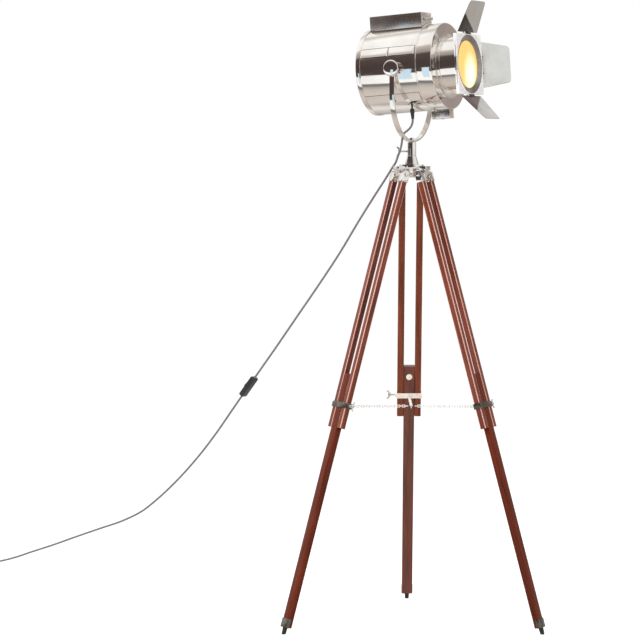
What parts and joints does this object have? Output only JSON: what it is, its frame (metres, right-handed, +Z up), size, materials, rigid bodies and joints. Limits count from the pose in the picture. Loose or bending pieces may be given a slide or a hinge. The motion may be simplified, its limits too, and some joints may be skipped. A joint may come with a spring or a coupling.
{
  "type": "tripod spotlight floor lamp",
  "caption": "Tripod floor lamp: wooden two-stage legs, chromed hub and yoke, and a tilting drum spotlight with hinged barn doors and a switched cord.",
  "frame": {"origin": "on the floor, straight under the pan axis", "axes": "+Z up along the pan axis; +X the way the spotlight faces"},
  "size_m": [2.0169, 0.6686, 1.5937],
  "materials": {
    "rail_wood": "glossy red-brown varnish",
    "lower_wood": "glossy red-brown varnish, a little darker",
    "leg_chrome": "polished chrome",
    "head_chrome": "polished warm nickel",
    "screw_chrome": "polished chrome",
    "leaf_steel": "polished, slightly satin",
    "dark_metal": "dark plated",
    "chain_steel": "plated wire",
    "lens_glass": "lit from behind, frosted",
    "reflector_metal": "mirror",
    "bulb_glass": "frosted",
    "holder_ceramic": "glazed",
    "foot_rubber": "matt",
    "gland_rubber": "satin",
    "cord_skin": "satin",
    "switch_plastic": "satin",
    "plug_plastic": "satin"
  },
  "bodies": {
    "tripod": {"hub": "leg_chrome", "hinge_bolts": "screw_chrome", "pan_socket": "leg_chrome", "cord_lower": "cord_skin", "cord_run": "cord_skin", "cord_coil": "cord_skin", "switch_body": "switch_plastic", "plug": "plug_plastic"},
    "upper_leg_fore": {"upper_rails_fore": "rail_wood", "ferrules_fore": "leg_chrome", "collar_fore": "leg_chrome"},
    "lower_leg_fore": {"lower_rail_fore": "lower_wood", "rail_fittings_fore": "leg_chrome", "foot_tip_fore": "foot_rubber"},
    "chain_arm_fore": {"chain_fore": "chain_steel"},
    "clamp_screw_fore": {"wing_bolt_fore": "screw_chrome"},
    "upper_leg_rear": {"upper_rails_rear": "rail_wood", "ferrules_rear": "leg_chrome", "collar_rear": "leg_chrome"},
    "lower_leg_rear": {"lower_rail_rear": "lower_wood", "rail_fittings_rear": "leg_chrome", "foot_tip_rear": "foot_rubber"},
    "chain_arm_rear": {"chain_rear": "chain_steel"},
    "clamp_screw_rear": {"wing_bolt_rear": "screw_chrome"},
    "upper_leg_side": {"upper_rails_side": "rail_wood", "ferrules_side": "leg_chrome", "collar_side": "leg_chrome"},
    "lower_leg_side": {"lower_rail_side": "lower_wood", "rail_fittings_side": "leg_chrome", "foot_tip_side": "foot_rubber"},
    "chain_arm_side": {"chain_side": "chain_steel"},
    "clamp_screw_side": {"wing_bolt_side": "screw_chrome"},
    "pan_screw": {"pan_lock_screw": "screw_chrome"},
    "yoke_frame": {"yoke": "head_chrome", "pan_spigot": "screw_chrome", "cord_upper": "cord_skin"},
    "head": {"trunnions": "dark_metal", "drum": "head_chrome", "rear_cover": "head_chrome", "front_cover": "head_chrome", "nose": "head_chrome", "lens": "lens_glass", "lens_ring": "dark_metal", "reflector": "reflector_metal", "bulb": "bulb_glass", "lampholder": "holder_ceramic", "top_box": "head_chrome", "box_screws": "screw_chrome", "bottom_box": "head_chrome", "leaf_frame": "leaf_steel", "leaf_pins": "screw_chrome", "gland": "gland_rubber"},
    "knob_left": {"tilt_knob_left": "head_chrome"},
    "knob_right": {"tilt_knob_right": "head_chrome"},
    "door_top": {"leaf_top": "leaf_steel"},
    "door_right": {"leaf_right": "leaf_steel"},
    "door_bottom": {"leaf_bottom": "leaf_steel"},
    "door_left": {"leaf_left": "leaf_steel"},
    "rocker": {"switch_rocker": "switch_plastic"}
  },
  "joints": [
    {"name": "fold_fore", "type": "hinge", "parent": "tripod", "child": "upper_leg_fore", "pos_m": [0.03545, -0.00186, 1.156], "axis": [0.0523, 0.9986, 0], "range_deg": [0, 14]},
    {"name": "slide_fore", "type": "slide", "parent": "upper_leg_fore", "child": "lower_leg_fore", "axis": [-0.2803, 0.0147, 0.9598], "range_m": [-0.035, 0.45]},
    {"name": "chain_swing_fore", "type": "hinge", "parent": "upper_leg_fore", "child": "chain_arm_fore", "pos_m": [0.19287, -0.01011, 0.56759], "axis": [0.0523, 0.9986, 0], "range_deg": [-95, 1]},
    {"name": "clamp_turn_fore", "type": "hinge", "parent": "upper_leg_fore", "child": "clamp_screw_fore", "pos_m": [0.20884, 0.04063, 0.57148], "axis": [0.0523, 0.9986, 0], "range_deg": [0, 180]},
    {"name": "fold_rear", "type": "hinge", "parent": "tripod", "child": "upper_leg_rear", "pos_m": [-0.01612, 0.03163, 1.156], "axis": [-0.891, -0.454, 0], "range_deg": [0, 14]},
    {"name": "slide_rear", "type": "slide", "parent": "upper_leg_rear", "child": "lower_leg_rear", "axis": [0.1274, -0.2501, 0.9598], "range_m": [-0.035, 0.45]},
    {"name": "chain_swing_rear", "type": "hinge", "parent": "upper_leg_rear", "child": "chain_arm_rear", "pos_m": [-0.08768, 0.17208, 0.56759], "axis": [-0.891, -0.454, 0], "range_deg": [-95, 1]},
    {"name": "clamp_turn_rear", "type": "hinge", "parent": "upper_leg_rear", "child": "clamp_screw_rear", "pos_m": [-0.1396, 0.16055, 0.57148], "axis": [-0.891, -0.454, 0], "range_deg": [0, 180]},
    {"name": "fold_side", "type": "hinge", "parent": "tripod", "child": "upper_leg_side", "pos_m": [-0.01934, -0.02977, 1.156], "axis": [0.8387, -0.5446, 0], "range_deg": [0, 14]},
    {"name": "slide_side", "type": "slide", "parent": "upper_leg_side", "child": "lower_leg_side", "axis": [0.1529, 0.2354, 0.9598], "range_m": [-0.035, 0.45]},
    {"name": "chain_swing_side", "type": "hinge", "parent": "upper_leg_side", "child": "chain_arm_side", "pos_m": [-0.10519, -0.16198, 0.56759], "axis": [0.8387, -0.5446, 0], "range_deg": [-95, 1]},
    {"name": "clamp_turn_side", "type": "hinge", "parent": "upper_leg_side", "child": "clamp_screw_side", "pos_m": [-0.06924, -0.20117, 0.57148], "axis": [0.8387, -0.5446, 0], "range_deg": [0, 180]},
    {"name": "pan_screw_turn", "type": "hinge", "parent": "tripod", "child": "pan_screw", "pos_m": [-0.01813, -0.00845, 1.21483], "axis": [-0.9063, -0.4226, 0], "range_deg": [0, 180]},
    {"name": "pan", "type": "hinge", "parent": "tripod", "child": "yoke_frame", "pos_m": [0, 0, 1.2385], "axis": [0, 0, 1], "range_deg": [-90, 90], "deforming": ["cord_lower"]},
    {"name": "tilt", "type": "hinge", "parent": "yoke_frame", "child": "head", "pos_m": [0, 0, 1.4238], "axis": [0, 1, 0], "range_deg": [-45, 35], "deforming": ["cord_upper"]},
    {"name": "knob_turn_left", "type": "hinge", "parent": "yoke_frame", "child": "knob_left", "pos_m": [0, 0.125, 1.4238], "axis": [0, 1, 0], "range_deg": [0, 180]},
    {"name": "knob_turn_right", "type": "hinge", "parent": "yoke_frame", "child": "knob_right", "pos_m": [0, -0.125, 1.4238], "axis": [0, -1, 0], "range_deg": [0, 180]},
    {"name": "door_swing_top", "type": "hinge", "parent": "head", "child": "door_top", "pos_m": [0.15387, 0, 1.51415], "axis": [0, 1, 0], "range_deg": [-25, 67]},
    {"name": "door_swing_right", "type": "hinge", "parent": "head", "child": "door_right", "pos_m": [0.15941, -0.0794, 1.43495], "axis": [-0.0698, 0, 0.9976], "range_deg": [-25, 67]},
    {"name": "door_swing_bottom", "type": "hinge", "parent": "head", "child": "door_bottom", "pos_m": [0.16495, 0, 1.35574], "axis": [0, -1, 0], "range_deg": [-42, 50]},
    {"name": "door_swing_left", "type": "hinge", "parent": "head", "child": "door_left", "pos_m": [0.15941, 0.0794, 1.43495], "axis": [0.0698, 0, -0.9976], "range_deg": [-36, 56]},
    {"name": "rocker_tip", "type": "hinge", "parent": "tripod", "child": "rocker", "pos_m": [-0.54032, 0.10525, 0.58696], "axis": [-0.1918, -0.9814, 0], "range_deg": [0, 16]}
  ],
  "couplings": [
    {"joint": "chain_swing_fore", "follows": "fold_fore", "ratio": -6.7},
    {"joint": "chain_swing_rear", "follows": "fold_rear", "ratio": -6.7},
    {"joint": "chain_swing_side", "follows": "fold_side", "ratio": -6.7}
  ]
}
